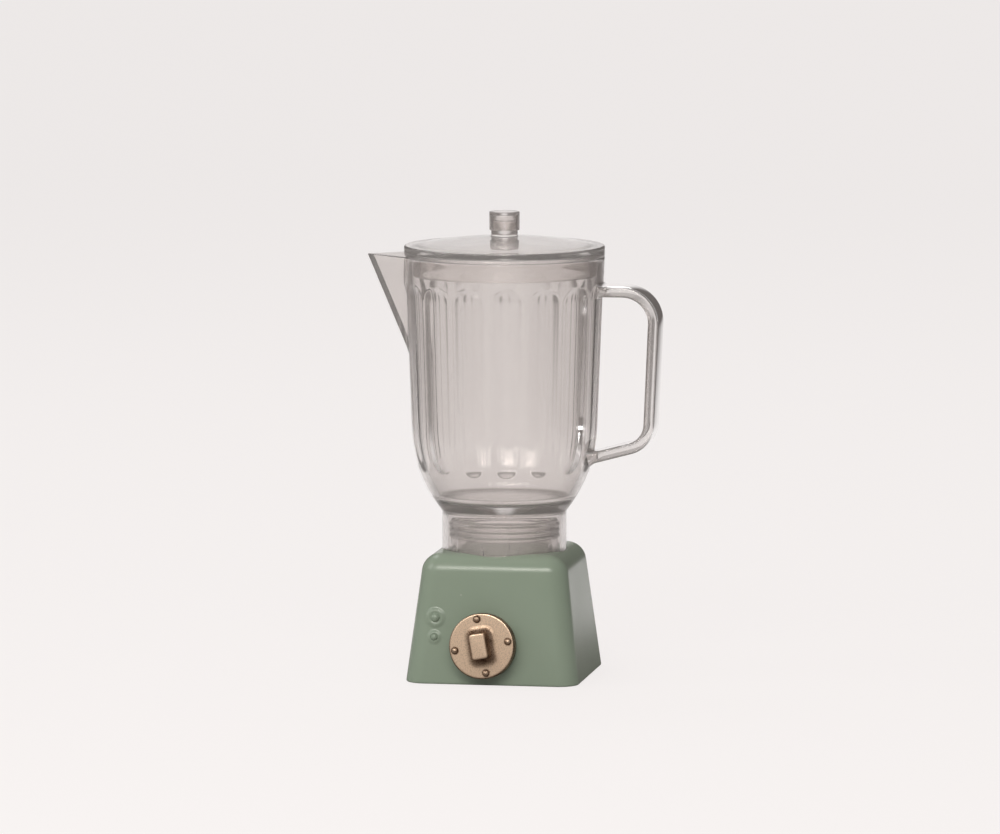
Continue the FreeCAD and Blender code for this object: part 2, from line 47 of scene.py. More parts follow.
def mixedGrid(name, patches, smoothAngle=40.0):
    # one mesh from several grids. A patch is (points, closed along, closed across, flipped)
    allPoints, allQuads, offset = [], [], 0
    for points, closedAlong, closedAcross, flipped in patches:
        rows, columns = points.shape[:2]
        index = np.arange(rows * columns).reshape(rows, columns) + offset
        if closedAlong:
            index = np.vstack([index, index[:1]])
        if closedAcross:
            index = np.hstack([index, index[:, :1]])
        quads = np.stack([index[:-1, :-1], index[:-1, 1:], index[1:, 1:], index[1:, :-1]], axis=-1)
        quads = quads.reshape(-1, 4)
        if flipped:
            quads = quads[:, ::-1]
        allPoints.append(points.reshape(-1, 3))
        allQuads.append(quads)
        offset += rows * columns
    points = np.concatenate(allPoints) * millimetre
    quads = np.concatenate(allQuads)
    # vertices that share a place become one, and a quad with a doubled corner becomes a triangle
    keys = np.round(points / 2e-7).astype(np.int64)
    _, first, same = np.unique(keys, axis=0, return_index=True, return_inverse=True)
    quads = same.reshape(-1)[quads]
    quads = quads[(quads[:, 0] != quads[:, 2]) & (quads[:, 1] != quads[:, 3])]
    doubled = quads == np.roll(quads, 1, axis=1)
    folded = doubled.sum(axis=1) == 1
    triangles = quads[folded][~doubled[folded]].reshape(-1, 3)
    whole = quads[~doubled.any(axis=1)]
    mesh = bpy.data.meshes.new(name)
    mesh.from_pydata(points[first].tolist(), [], whole.tolist() + triangles.tolist())
    mesh.update()
    mesh.shade_smooth()
    mesh.set_sharp_from_angle(angle=math.radians(smoothAngle))
    piece = bpy.data.objects.new(name, mesh)
    bpy.context.scene.collection.objects.link(piece)
    return piece


def addValues(piece, name, values):
    # writes one number per vertex, which a material reads by its name
    layer = piece.data.attributes.new(name, "FLOAT", "POINT")
    layer.data.foreach_set("value", np.asarray(values, dtype=np.float32))


def vertexPlaces(piece):
    # the piece's vertices as an array, in millimetres
    places = np.empty(len(piece.data.vertices) * 3, dtype=np.float32)
    piece.data.vertices.foreach_get("co", places)
    return places.reshape(-1, 3).astype(float) / millimetre


def splitRuns(path, step):
    # puts evenly spaced points into every run of the path that is longer than step
    fine = [path[0]]
    for point in path[1:]:
        start = fine[-1]
        count = max(1, int(math.ceil(np.linalg.norm(point - start) / step)))
        for k in range(1, count + 1):
            fine.append(start + (point - start) * k / count)
    return np.array(fine)


def roundedPath(corners, step=0.4, arcSteps=5):
    # points along a path of (across, height, round): corners become arcs, runs are split evenly
    corners = [np.array(corner, dtype=float) for corner in corners]
    path = [corners[0][:2]]
    for k in range(1, len(corners) - 1):
        here, radius = corners[k][:2], corners[k][2]
        back = corners[k - 1][:2] - here
        ahead = corners[k + 1][:2] - here
        backLength, aheadLength = np.linalg.norm(back), np.linalg.norm(ahead)
        back, ahead = back / backLength, ahead / aheadLength
        angle = math.acos(np.clip(back @ ahead, -1, 1))
        run = min(radius / math.tan(angle / 2), 0.49 * backLength, 0.49 * aheadLength) if radius else 0.0
        if run < 1e-4:
            path.append(here)
            continue
        enter, leave = here + back * run, here + ahead * run
        for t in np.linspace(0, 1, arcSteps + 1):
            # a quadratic through the corner, close to an arc at these sizes
            path.append((1 - t) ** 2 * enter + 2 * t * (1 - t) * here + t ** 2 * leave)
    path.append(corners[-1][:2])
    return splitRuns(path, step)


def levelRings(angles, rings):
    # rows round the upright axis from (radius, height) pairs: a radius is a number or one value per angle
    radii = np.array([np.broadcast_to(radius, angles.shape) for radius, z in rings])
    heights = np.array([np.full_like(angles, z) for radius, z in rings])
    return np.stack([radii * np.cos(angles), radii * np.sin(angles), heights], axis=-1)


def cornerTurns(count):
    # a rectangle's four round corners: the sign on each axis, and the cosine and sine of each step's turn
    signX, signY = np.repeat([1, -1, -1, 1], count), np.repeat([1, 1, -1, -1], count)
    turns = np.radians(np.tile(np.linspace(0, 90, count), 4) + np.repeat([0, 90, 180, 270], count))
    return signX, signY, np.cos(turns), np.sin(turns)


def turnedPiece(name, corners, segments=96, step=0.4, place=None, arcSteps=5):
    # closed body of revolution. The path runs anticlockwise in the (across, height) plane
    angles = np.linspace(0, 2 * math.pi, segments, endpoint=False)
    points = levelRings(angles, roundedPath(corners, step, arcSteps))
    if place is not None:
        points = place(points)
    return mixedGrid(name, [(points, False, True, False)])


def smoothStep(low, high, value):
    # runs smoothly from 0 at low to 1 at high, also where low is the larger
    t = np.clip((value - low) / (high - low), 0, 1)
    return t * t * (3 - 2 * t)


def smoothMax(a, b, blend):
    # the larger of two values, rounded over where they are nearly equal
    near = np.clip(0.5 + 0.5 * (a - b) / blend, 0, 1)
    return b + (a - b) * near + blend * near * (1 - near)


# Base housing

housing = {
    "height": 20.3, "halfWidth": 13.9, "leanDegrees": 7.0, "cornerRound": 3.25, "shoulderRound": 3.2,
    "wall": 1.3, "topWall": 2.4, "seatDepth": 0.35, "seatRadius": 10.05, "holeRadius": 8.95,
    "footRound": 0.3,
}
studs = {
    "places": ((-8.85, 10.45), (-8.97, 7.4)), "domeRadii": (0.72, 0.54), "domeHeights": (0.5, 0.42),
    "padRadii": (1.75, 1.3), "padHeight": 0.23, "padSlope": 0.6, "shankRadius": 0.35, "clinchRadius": 0.6,
    "clinchHeight": 0.25,
}
leanAngle = math.radians(housing["leanDegrees"])
leanTangent, leanCosine, leanSine = math.tan(leanAngle), math.cos(leanAngle), math.sin(leanAngle)


def halfWidthAt(height):
    # the sides lean in evenly, so the width shrinks with the height times the lean's tangent
    return housing["halfWidth"] - height * leanTangent


def onFront(x, z):
    # turns points of a front frame (right, up the face, outward) into the toy's frame
    origin = np.array([x, -halfWidthAt(z), z])
    right = np.array([1.0, 0.0, 0.0])
    up = np.array([0.0, leanSine, leanCosine])
    outward = np.array([0.0, -leanCosine, leanSine])

    def place(points):
        return origin + points[..., :1] * right + points[..., 1:2] * up + points[..., 2:3] * outward

    return place


def squareColumns():
    # columns round the square: a point on the unit square and a unit normal for each
    centres, normals = [], []
    for side in range(4):
        turn = math.radians(90 * side)
        along = np.array([math.cos(turn), math.sin(turn)])
        outward = np.array([math.sin(turn), -math.cos(turn)])
        for t in np.linspace(-1.0, 1.0, 41)[:-1]:
            centres.append(t * along + outward)
            normals.append(outward)
        for bend in np.radians(np.linspace(0, 90, 15)[:-1]):
            centres.append(along + outward)
            normals.append(math.cos(bend) * outward + math.sin(bend) * along)
    return np.array(centres), np.array(normals)


def squareRing(centres, normals, half, radius, height):
    # one row round the base: points of a smaller square pushed out along the normals by the corner's radius
    flat = centres * (half - radius) + normals * radius
    return np.concatenate([flat, np.full((len(flat), 1), height)], axis=1)


def makeHousing():
    # rounded square rings: up the side, over the shoulder, in to the seat's circle and down inside
    h = housing
    centres, normals = squareColumns()
    rows = []
    # outer foot edge, rounded under
    for bend in np.radians(np.linspace(0, 90, 5)):
        inset = h["footRound"] * (1 - math.sin(bend))
        height = h["footRound"] * (1 - math.cos(bend))
        half = halfWidthAt(height) - inset
        rows.append(squareRing(centres, normals, half, h["cornerRound"] - inset, height))
    arcHeight = h["height"] - h["shoulderRound"]
    sideTop = arcHeight + h["shoulderRound"] * leanSine
    for height in np.linspace(0.5, sideTop, 34):
        rows.append(squareRing(centres, normals, halfWidthAt(height), h["cornerRound"], height))
    # shoulder and top, carried in to the seat's circle
    coreRound = h["cornerRound"] - h["shoulderRound"]
    arcHalf = halfWidthAt(arcHeight) - h["shoulderRound"] / leanCosine
    dense = []
    for bend in np.radians(np.linspace(h["leanDegrees"], 90, 120)):
        reach = h["shoulderRound"] * math.cos(bend)
        dense.append(squareRing(centres, normals, arcHalf + reach, coreRound + reach,
                                arcHeight + h["shoulderRound"] * math.sin(bend)))
    topEdge = dense[-1]
    for t in np.linspace(0, 1, 160)[1:]:
        dense.append(topEdge * np.array([1 - t * 0.4, 1 - t * 0.4, 1.0]))
    dense = np.array(dense)
    radius = np.hypot(dense[..., 0], dense[..., 1])
    runs = np.linspace(0, 1, 24)[1:]
    shoulder = np.empty((len(runs), len(centres), 3))
    for column in range(len(centres)):
        inside = np.nonzero(radius[:, column] <= h["seatRadius"])[0][0]
        span = radius[inside - 1, column] - radius[inside, column]
        end = inside - (h["seatRadius"] - radius[inside, column]) / span
        places = runs ** 0.9 * end
        for axis in range(3):
            shoulder[:, column, axis] = np.interp(places, np.arange(len(dense)), dense[:, column, axis])
    rows.extend(shoulder)
    # the seat, the hole, the hollow inside and the rim underneath
    edge = shoulder[-1]
    around = edge[:, :2] / np.hypot(edge[:, 0], edge[:, 1])[:, None]

    def circle(reach, height):
        return np.concatenate([around * reach, np.full((len(around), 1), height)], axis=1)

    seatHeight = h["height"] - h["seatDepth"]
    ceiling = h["height"] - h["topWall"]
    rows += [circle(reach, seatHeight) for reach in (h["seatRadius"], h["seatRadius"] - 0.5, h["holeRadius"])]
    rows += [circle(h["holeRadius"], height) for height in ((seatHeight + ceiling) / 2, ceiling)]
    innerRound = h["cornerRound"] - h["wall"]
    for height in np.linspace(ceiling, 0, 14):
        half = halfWidthAt(height) - h["wall"] / leanCosine
        rows.append(squareRing(centres, normals, half, innerRound, height))
    piece = mixedGrid("housing_shell", [(np.array(rows), True, True, True)], 50.0)
    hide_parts("base_housing")
    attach(piece, "base")
    return piece


def makeStuds():
    # painted studs: a small dome on a low pad whose edge slopes softly down to the face
    pieces = []
    s = studs
    sizes = zip(("upper", "lower"), s["places"], s["domeRadii"], s["domeHeights"], s["padRadii"])
    for name, place, dome, rise, pad in sizes:
        sphere = (dome ** 2 + rise ** 2) / (2 * rise)
        steps = np.linspace(0, math.acos((sphere - rise) / sphere), 14)
        valley = 0.72 * s["padHeight"]
        cap = [(sphere * math.sin(t), valley + rise - sphere + sphere * math.cos(t), 0) for t in steps]
        end = -housing["wall"]
        path = [(0, end - s["clinchHeight"], 0), (s["clinchRadius"], end - s["clinchHeight"], 0.05),
                (s["clinchRadius"], end, 0.03), (s["shankRadius"], end, 0), (s["shankRadius"], -0.02, 0),
                (pad, -0.02, 0)]
        # the pad's surface: up a soft slope, over a round crest and down a little to the dome's foot
        crest = pad - s["padSlope"]
        for across in np.linspace(pad, dome + 0.02, 22)[1:]:
            rising = smoothStep(pad, crest - 0.1, across) if across > crest - 0.1 else 1.0
            falling = smoothStep(crest - 0.1, dome, across)
            path.append((across, s["padHeight"] * rising - (s["padHeight"] - valley) * falling, 0))
        piece = turnedPiece("stud_" + name, path + cap[::-1], 64, 0.2, onFront(*place))
        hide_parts(name + "_stud")
        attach(piece, "base")
        pieces.append(piece)
    return pieces


# Dial

dial = {
    "x": -0.9, "z": 6.2, "turnDegrees": 11.0, "radius": 5.2, "back": 0.35, "face": 2.8, "edgeRound": 0.32,
    "rivetCircle": 4.3, "rivetRadius": 0.55, "rivetHeight": 0.46,
    "toggleWidth": 2.45, "toggleLength": 4.0, "toggleHeight": 3.1, "toggleFlare": 1.3, "toggleCorner": 0.4,
    "toggleRound": 0.22,
    # how far and how strongly the painted shade spreads from the toggle's foot, round the rivets and on the
    # edge
    "paintedShadeNear": 0.35, "paintedShadeFar": 1.55, "paintedShadeStrength": 0.86, "rivetShade": 0.1, "edgeShade": 0.85,
}


def onDial(points):
    # turns points of the dial's own frame into the toy's frame, with the dial at its resting turn
    turn = math.radians(dial["turnDegrees"])
    spun = np.stack([
        points[..., 0] * math.cos(turn) - points[..., 1] * math.sin(turn),
        points[..., 0] * math.sin(turn) + points[..., 1] * math.cos(turn),
        points[..., 2],
    ], axis=-1)
    return onFront(dial["x"], dial["z"])(spun)


def dialFrame(places):
    # the same the other way round: toy frame to dial frame
    away = places - np.array([dial["x"], -halfWidthAt(dial["z"]), dial["z"]])
    right = away[:, 0]
    up = away @ np.array([0, leanSine, leanCosine])
    outward = away @ np.array([0, -leanCosine, leanSine])
    turn = math.radians(-dial["turnDegrees"])
    return np.stack([
        right * math.cos(turn) - up * math.sin(turn), right * math.sin(turn) + up * math.cos(turn), outward,
    ], axis=-1)


def boxGap(places, halfX, halfY):
    # distance outside a rectangle centred on the dial's axis
    outX = np.maximum(np.abs(places[:, 0]) - halfX, 0)
    outY = np.maximum(np.abs(places[:, 1]) - halfY, 0)
    return np.hypot(outX, outY)


def rivetPlaces():
    # the rivets stand on a circle, a quarter turn apart
    return [(dial["rivetCircle"] * math.cos(math.radians(a)), dial["rivetCircle"] * math.sin(math.radians(a)))
            for a in (90, 180, 270, 360)]


def paintShadeInCorners(piece):
    # painted shade and painted dark reflection: darker round the toggle's foot and up its sides, round the
    # rivets and on the disc's side and edge, with the toggle's top and the rivets' tops left light: one
    # number per vertex
    places = dialFrame(vertexPlaces(piece))
    foot = boxGap(places, dial["toggleWidth"] / 2, dial["toggleLength"] / 2)
    height = places[:, 2] - dial["face"]
    topEdge = dial["toggleHeight"] - 0.12
    # painted shade fades out from the toggle's foot and covers its sides up to just under its top, which
    # stays light
    paintedShade = dial["paintedShadeStrength"] * (1 - smoothStep(dial["paintedShadeNear"], dial["paintedShadeFar"], foot))
    paintedShade *= (1 - smoothStep(topEdge - 0.14, topEdge, height)) * (height > -0.02)
    # a ring of painted shade round each rivet's foot, and its dome painted darker except the top, which stays
    # light as if lit from above
    for x, y in rivetPlaces():
        gap = np.hypot(places[:, 0] - x, places[:, 1] - y)
        beside = np.exp(-(np.maximum(gap - dial["rivetRadius"], 0) / dial["rivetShade"]) ** 2)
        ring = np.where(height < 0.03, beside, 0.45 + 0.55 * smoothStep(0.34, 0.2, height))
        paintedShade = np.maximum(paintedShade, 0.9 * ring * (gap < dial["rivetRadius"] + 0.3) * (height > -0.02))
    # the disc's side and outer edge are painted dark, standing for the reflection of dark surroundings
    side = smoothStep(-0.12, -0.4, height)
    edge = smoothStep(dial["radius"] - 0.24, dial["radius"] - 0.04, np.hypot(places[:, 0], places[:, 1]))
    paintedShade = np.maximum(paintedShade, dial["edgeShade"] * np.maximum(side, edge))
    addValues(piece, "paintedShade", np.clip(paintedShade, 0, 1))


def makeDial():
    # the disc is a turned profile, a rivet's head part of a sphere, the toggle a rectangle carried upward
    d = dial
    floor = d["face"]
    disc = turnedPiece("dial_plate", [
        (0, d["back"], 0), (d["radius"], d["back"], d["edgeRound"]),
        (d["radius"], floor, d["edgeRound"]), (0, floor, 0),
    ], 192, 0.075, onDial, 7)
    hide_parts("dial_disc")
    rivetPatches = []
    sphere = (d["rivetRadius"] ** 2 + d["rivetHeight"] ** 2) / (2 * d["rivetHeight"])
    angles = np.linspace(0, 2 * math.pi, 40, endpoint=False)
    bends = np.linspace(0, math.acos((sphere - d["rivetHeight"]) / sphere), 12)
    top = floor + d["rivetHeight"]
    cap = [(sphere * math.sin(t), top - sphere + sphere * math.cos(t)) for t in bends][::-1]
    shank = [(0, d["back"]), (0.3, d["back"]), (0.3, floor - 0.05), (d["rivetRadius"], floor - 0.05)]
    rivet = levelRings(angles, shank + cap)
    for x, y in rivetPlaces():
        points = rivet + np.array([x, y, 0.0])
        rivetPatches.append((onDial(points), False, True, False))
    rivets = mixedGrid("dial_rivet_heads", rivetPatches)
    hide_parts("dial_rivets")
    # toggle: a rectangle with round corners carried up a profile of (spread, height)
    bends = np.radians(np.linspace(0, 90, 12))
    foot, crownRound = d["toggleFlare"], d["toggleRound"]
    flare = np.stack([foot * (1 - np.sin(bends)), floor + foot * (1 - np.cos(bends))], axis=1)
    top = floor + d["toggleHeight"]
    heights = np.linspace(floor + foot, top - crownRound, 12)[1:]
    bends = np.radians(np.linspace(0, 90, 9)[1:])
    crown = np.stack([-crownRound * (1 - np.cos(bends)), top - crownRound * (1 - np.sin(bends))], axis=1)
    profile = np.concatenate([flare, np.stack([np.zeros_like(heights), heights], axis=1), crown])
    spread, height = profile[:, :1], profile[:, 1:]
    halfX, halfY = d["toggleWidth"] / 2 + spread, d["toggleLength"] / 2 + spread
    corner = np.maximum(d["toggleCorner"] + spread, 0.03)
    signX, signY, cosine, sine = cornerTurns(8)
    rings = np.stack([
        signX * (halfX - corner) + corner * cosine,
        signY * (halfY - corner) + corner * sine,
        np.broadcast_to(height, (len(profile), 32)),
    ], axis=-1)
    # eight more columns on each straight side, read between the corners' ends
    oneSide = np.concatenate([np.arange(8), 7 + np.linspace(0, 1, 10)[1:-1]])
    stations = np.concatenate([oneSide + 8 * k for k in range(4)])
    low = np.floor(stations).astype(int)
    part = (stations - low)[None, :, None]
    rings = rings[:, low] * (1 - part) + rings[:, (low + 1) % 32] * part
    shrink = np.linspace(1, 0, 8)[1:, None, None]
    flat, upright = np.array([1, 1, 0]), np.array([0, 0, 1])
    caps = rings[-1:] * (shrink * flat + upright) + 0.03 * (1 - shrink) * upright
    points = np.concatenate([rings[:1] * upright, rings, caps])
    toggle = mixedGrid("dial_grip", [(onDial(points), False, True, False)], 60.0)
    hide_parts("dial_toggle")
    for piece in (disc, rivets, toggle):
        paintShadeInCorners(piece)
        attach(piece, "dial")
    return disc, rivets, toggle


# Jug

jug = {
    "neckRadius": 9.9, "neckWall": 0.85, "seatHeight": 19.95, "neckTop": 26.2, "turnHeight": 40.0,
    "turnRadius": 14.95, "rim": 66.9, "rimRadius": 15.95, "wall": 1.1, "floorUnder": 27.0, "floorTop": 28.2,
    "flutes": 16, "fluteDepth": 0.42, "fluteLow": 32.9, "fluteHigh": 62.9, "fluteHalfWidth": 2.62,
    "fluteBlend": 0.06, "rimRound": 0.22, "floorRound": 0.9,
    "spoutReach": 22.1, "spoutFoot": 50.3, "spoutWall": 0.8, "spoutBlend": 0.5, "spoutHalfAngle": 38.8,
}


def bowlArc():
    # the rounded bottom's centre and radius: it meets the straight wall smoothly
    j = jug
    run = math.hypot(j["rimRadius"] - j["turnRadius"], j["rim"] - j["turnHeight"])
    inward = np.array([-(j["rim"] - j["turnHeight"]) / run, (j["rimRadius"] - j["turnRadius"]) / run])
    turn = np.array([j["turnRadius"], j["turnHeight"]])
    back = np.array([j["neckRadius"], j["neckTop"]]) - turn
    reach = back @ back / (2 * back @ inward)
    return turn + reach * inward, reach


arcCentre, arcReach = bowlArc()


def bowlRadius(z, inset=0.0):
    # radius of the bowl's side at height z: an arc below, a straight widening wall above
    z = np.asarray(z, dtype=float)
    slope = (jug["rimRadius"] - jug["turnRadius"]) / (jug["rim"] - jug["turnHeight"])
    straight = jug["turnRadius"] - inset + slope * (z - jug["turnHeight"])
    bend = arcCentre[0] + np.sqrt(np.maximum((arcReach - inset) ** 2 - (z - arcCentre[1]) ** 2, 0))
    return np.where(z < jug["turnHeight"], bend, straight)


def spoutRadius(angle, z, inset):
    # distance from the axis to the spout's two flat sides. Its tip line leans out from the bowl up to the rim
    away = np.abs(angle % (2 * math.pi) - math.pi)
    half = math.radians(jug["spoutHalfAngle"])
    rise = (z - jug["spoutFoot"]) / (jug["rim"] - jug["spoutFoot"])
    foot = bowlRadius(jug["spoutFoot"]) - 0.3
    tip = foot + (jug["spoutReach"] - foot) * rise - inset / math.sin(half)
    lean = np.cos(np.minimum(away, 1.2) - (math.pi / 2 - half))
    return np.where(away < 0.9, tip * math.sin(half) / np.maximum(lean, 0.2), 0.0)


def fluteDepthAt(angle, z):
    # long hollows with round ends: depth falls off with the distance from the flute's middle line
    j = jug
    pitch = 2 * math.pi / j["flutes"]
    off = (angle / pitch) % 1.0 - 0.5
    sideways = off * pitch * bowlRadius(z)
    half = j["fluteHalfWidth"] * bowlRadius(z) / j["rimRadius"]
    beyond = np.maximum(np.maximum(j["fluteLow"] + half - z, z - (j["fluteHigh"] - half)), 0)
    span = np.sqrt(sideways ** 2 + beyond ** 2) / half
    hollow = np.clip(1 - span ** 2, 0, 1)
    return j["fluteDepth"] * smoothMax(hollow, np.zeros_like(hollow), j["fluteBlend"])


def jugAngles():
    # angles round the jug, closer together at the spout, whose tip is at half a turn
    even = np.linspace(0, 2 * math.pi, 320, endpoint=False)
    spread = math.radians(27)
    near = math.pi + np.linspace(-spread, spread, 73)
    return np.concatenate([even[even < math.pi - spread], near, even[even > math.pi + spread]])


def makeJug():
    # rings round the upright axis: the bowl's radius less the flutes, or the spout's where it is larger
    j = jug
    angles = jugAngles()
    bore = j["neckRadius"] - j["neckWall"]
    innerLow = float(bowlRadius(j["floorTop"], j["wall"]))

    def outer(z, lowered=0.0):
        side = bowlRadius(z) - fluteDepthAt(angles, z)
        spout = spoutRadius(angles, z, 0.0)
        return smoothMax(side, spout, j["spoutBlend"]) - lowered

    def inner(z, lowered=0.0):
        side = np.full_like(angles, float(bowlRadius(z, j["wall"])))
        spout = spoutRadius(angles, z, j["spoutWall"])
        return smoothMax(side, spout, j["spoutBlend"]) + lowered

    under = roundedPath([(0, j["floorUnder"], 0), (bore, j["floorUnder"], 0.4), (bore, j["seatHeight"], 0.1),
                         (j["neckRadius"], j["seatHeight"], 0.15), (j["neckRadius"], j["neckTop"], 0)], 0.55)
    rings = list(under[:-1])
    # the crease where the bowl springs from the neck
    rings += [(j["neckRadius"], j["neckTop"] - 0.12), (j["neckRadius"] + 0.03, j["neckTop"])]
    # rows stand closer where the flutes begin and end
    outerHeights = np.concatenate([
        np.linspace(j["neckTop"] + 0.25, 32.4, 16)[:-1], np.linspace(32.4, 36.2, 15)[:-1],
        np.linspace(36.2, 59.5, 26)[:-1], np.linspace(59.5, 63.2, 15)[:-1],
        np.linspace(63.2, j["rim"] - 0.25, 8),
    ])
    rings += [(outer(z), z) for z in outerHeights]
    rimBends = np.radians(np.linspace(0, 90, 5))
    for wallSide, bends in ((outer, rimBends[1:]), (inner, rimBends[:-1][::-1])):
        for bend in bends:
            lowered = j["rimRound"] * (1 - math.cos(bend))
            rings.append((wallSide(j["rim"], lowered), j["rim"] - j["rimRound"] * (1 - math.sin(bend))))
    cornerHeight = j["floorTop"] + j["floorRound"]
    innerHeights = np.concatenate([
        np.linspace(j["rim"] - 0.5, 50.0, 26), np.linspace(48.5, 36, 10), np.linspace(35, cornerHeight, 14),
    ])
    rings += [(inner(z), z) for z in innerHeights]
    corner = float(bowlRadius(cornerHeight, j["wall"]))
    flatEdge = innerLow - 0.75
    for bend in np.radians(np.linspace(0, 90, 7)[1:]):
        inward = (corner - flatEdge) * (1 - math.cos(bend))
        rings.append((corner - inward, j["floorTop"] + j["floorRound"] * (1 - math.sin(bend))))
    rings += [(radius, j["floorTop"]) for radius in np.linspace(flatEdge, 0, 10)[1:]]
    piece = mixedGrid("jug_bowl", [(levelRings(angles, rings), False, True, False)], 38.0)
    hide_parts("jug_body")
    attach(piece, "jug")
    return piece


# Handle

handle = {
    "reach": 25.4, "width": 5.8, "thickness": 1.75, "edgeRound": 0.5, "upperHeight": 61.6, "lowerRoot": 35.0,
    "lowerRiseDegrees": 15.0, "upperBend": 5.0, "lowerBend": 4.0, "gripLeanDegrees": 2.5, "sink": 0.35,
    "rootFlare": 0.35, "flareRun": 1.1,
}


def handleLine():
    # middle line of the strap as (x, z) points: arm out, bend, grip, bend, arm back in
    g = handle
    outer = g["reach"] - g["thickness"] / 2
    rise = math.tan(math.radians(g["lowerRiseDegrees"]))
    lean = math.tan(math.radians(g["gripLeanDegrees"]))
    rootX = float(bowlRadius(g["lowerRoot"]))
    start = (float(bowlRadius(g["upperHeight"])) - g["sink"], g["upperHeight"])
    lowX = (outer - lean * (g["upperHeight"] - g["lowerRoot"] + rise * rootX)) / (1 - lean * rise)
    low = (lowX, g["lowerRoot"] + rise * (lowX - rootX))
    end = (rootX - g["sink"], g["lowerRoot"] - rise * g["sink"])
    corners = [np.array(p) for p in (start, (outer, g["upperHeight"]), low, end)]
    line = [corners[0]]
    for k, radius in ((1, g["upperBend"]), (2, g["lowerBend"])):
        back = corners[k - 1] - corners[k]
        ahead = corners[k + 1] - corners[k]
        back, ahead = back / np.linalg.norm(back), ahead / np.linalg.norm(ahead)
        half = math.acos(back @ ahead) / 2
        enter = corners[k] + back * radius / math.tan(half)
        middle = (back + ahead) / np.linalg.norm(back + ahead)
        centre = corners[k] + middle * radius / math.sin(half)
        first = math.atan2(*(enter - centre)[::-1])
        sweep = -(math.pi - 2 * half)
        for bend in first + sweep * np.linspace(0, 1, 17):
            line.append(centre + radius * np.array([math.cos(bend), math.sin(bend)]))
    line.append(corners[3])
    return splitRuns(line, 0.6)


def makeHandle():
    # strap: a rectangle with round edges carried along the line, spreading a little where it meets the bowl
    g = handle
    line = handleLine()
    # more rows close to each end, for the spread
    steps = np.concatenate([[0], np.cumsum(np.linalg.norm(np.diff(line, axis=0), axis=1))])
    total = steps[-1]
    places = np.sort(np.concatenate([steps, np.linspace(0, 1.6, 9), total - np.linspace(0, 1.6, 9)]))
    places = places[np.concatenate([[True], np.diff(places) > 0.02])]
    line = np.stack([np.interp(places, steps, line[:, 0]), np.interp(places, steps, line[:, 1])], axis=1)
    tangent = np.gradient(line, axis=0)
    tangent /= np.linalg.norm(tangent, axis=1)[:, None]
    side = np.stack([-tangent[:, 1], tangent[:, 0]], axis=1)
    nearEnd = np.minimum(places, total - places)
    spread = g["rootFlare"] * np.clip(1 - nearEnd / g["flareRun"], 0, 1) ** 2
    signY, signN, cosine, sine = cornerTurns(6)
    flatY, flatN = g["width"] / 2 - g["edgeRound"], g["thickness"] / 2 - g["edgeRound"]
    across = signY * (flatY + spread[:, None]) + g["edgeRound"] * cosine
    out = signN * (flatN + spread[:, None]) + g["edgeRound"] * sine
    points = np.stack([line[:, :1] + side[:, :1] * out, across, line[:, 1:] + side[:, 1:] * out], axis=-1)
    # each end closes on its middle
    first = np.broadcast_to(points[:1].mean(axis=1, keepdims=True), points[:1].shape)
    last = np.broadcast_to(points[-1:].mean(axis=1, keepdims=True), points[:1].shape)
    points = np.concatenate([first, points, last])
    piece = mixedGrid("handle_strap", [(points, False, True, True)], 50.0)
    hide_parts("jug_handle")
    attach(piece, "jug")
    return piece


# Spigot under the jug

spigot = {
    "radius": 8.5, "wall": 1.1, "top": 25.0, "floorTop": 17.9, "flangeUnder": 16.9, "flangeHalf": 9.54,
    "flangeRound": 2.8, "beadHeight": 0.33, "beadHalf": 0.36, "beads": 3, "beadPitch": 0.9, "beadDrop": 0.8,
    "ribs": 9, "ribWidth": 0.6, "ribHeight": 0.33, "ribTop": 21.25, "ribFirstDegrees": -64.0,
}


def makeSpigot():
    # rings round the upright axis: a tube with half-round beads and low ribs, standing on a square flange
    s = spigot
    angles = np.linspace(0, 2 * math.pi, 432, endpoint=False)
    # the flange is a square with round corners, given as a distance from the axis
    cosine, sine = np.abs(np.cos(angles)), np.abs(np.sin(angles))
    flat = s["flangeHalf"] / np.maximum(cosine, sine)
    core = s["flangeHalf"] - s["flangeRound"]
    along = core * (cosine + sine)
    corner = along + np.sqrt(np.maximum(along ** 2 - 2 * core ** 2 + s["flangeRound"] ** 2, 0))
    inCorner = (flat * np.minimum(cosine, sine)) > core
    flange = np.where(inCorner, corner, flat)
    rings = [(flange * t, s["flangeUnder"]) for t in np.linspace(0, 1, 8)]
    rings += [(flange, s["floorTop"]), (s["radius"] + 0.3, s["floorTop"])]

    def outer(z):
        radius = np.full_like(angles, s["radius"])
        for k in range(s["beads"]):
            height = s["top"] - s["beadDrop"] - k * s["beadPitch"]
            part = 1 - ((z - height) / s["beadHalf"]) ** 2
            if part > 0:
                radius = radius + s["beadHeight"] * math.sqrt(part)
        if z < s["ribTop"]:
            turn = (np.degrees(angles) - s["ribFirstDegrees"]) % (360 / s["ribs"])
            off = np.minimum(turn, 360 / s["ribs"] - turn)
            across = np.radians(off) * s["radius"]
            height = min(1.0, (s["ribTop"] - z) / 0.5)
            rib = 1 - smoothStep(s["ribWidth"] * 0.3, s["ribWidth"] * 0.6, across)
            radius = radius + s["ribHeight"] * height * rib
        return radius

    heights = np.concatenate([
        np.linspace(s["floorTop"], 19.9, 4)[1:], np.linspace(20.1, 21.3, 10), np.linspace(21.45, 24.7, 40),
    ])
    rings += [(outer(z), z) for z in heights]
    for bend in np.radians(np.linspace(0, 180, 9)):
        rim = s["radius"] - s["wall"] / 2 + s["wall"] / 2 * math.cos(bend)
        rings.append((rim, s["top"] - 0.25 + 0.25 * math.sin(bend)))
    inside = s["radius"] - s["wall"]
    rings += [(inside, z) for z in np.linspace(s["top"] - 0.6, s["floorTop"] + 0.3, 12)]
    rings += [((inside - 0.3) * t, s["floorTop"]) for t in np.linspace(1, 0, 8)]
    piece = mixedGrid("spigot_cup", [(levelRings(angles, rings), False, True, False)], 45.0)
    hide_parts("jug_spigot")
    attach(piece, "base")
    return piece


# Lid

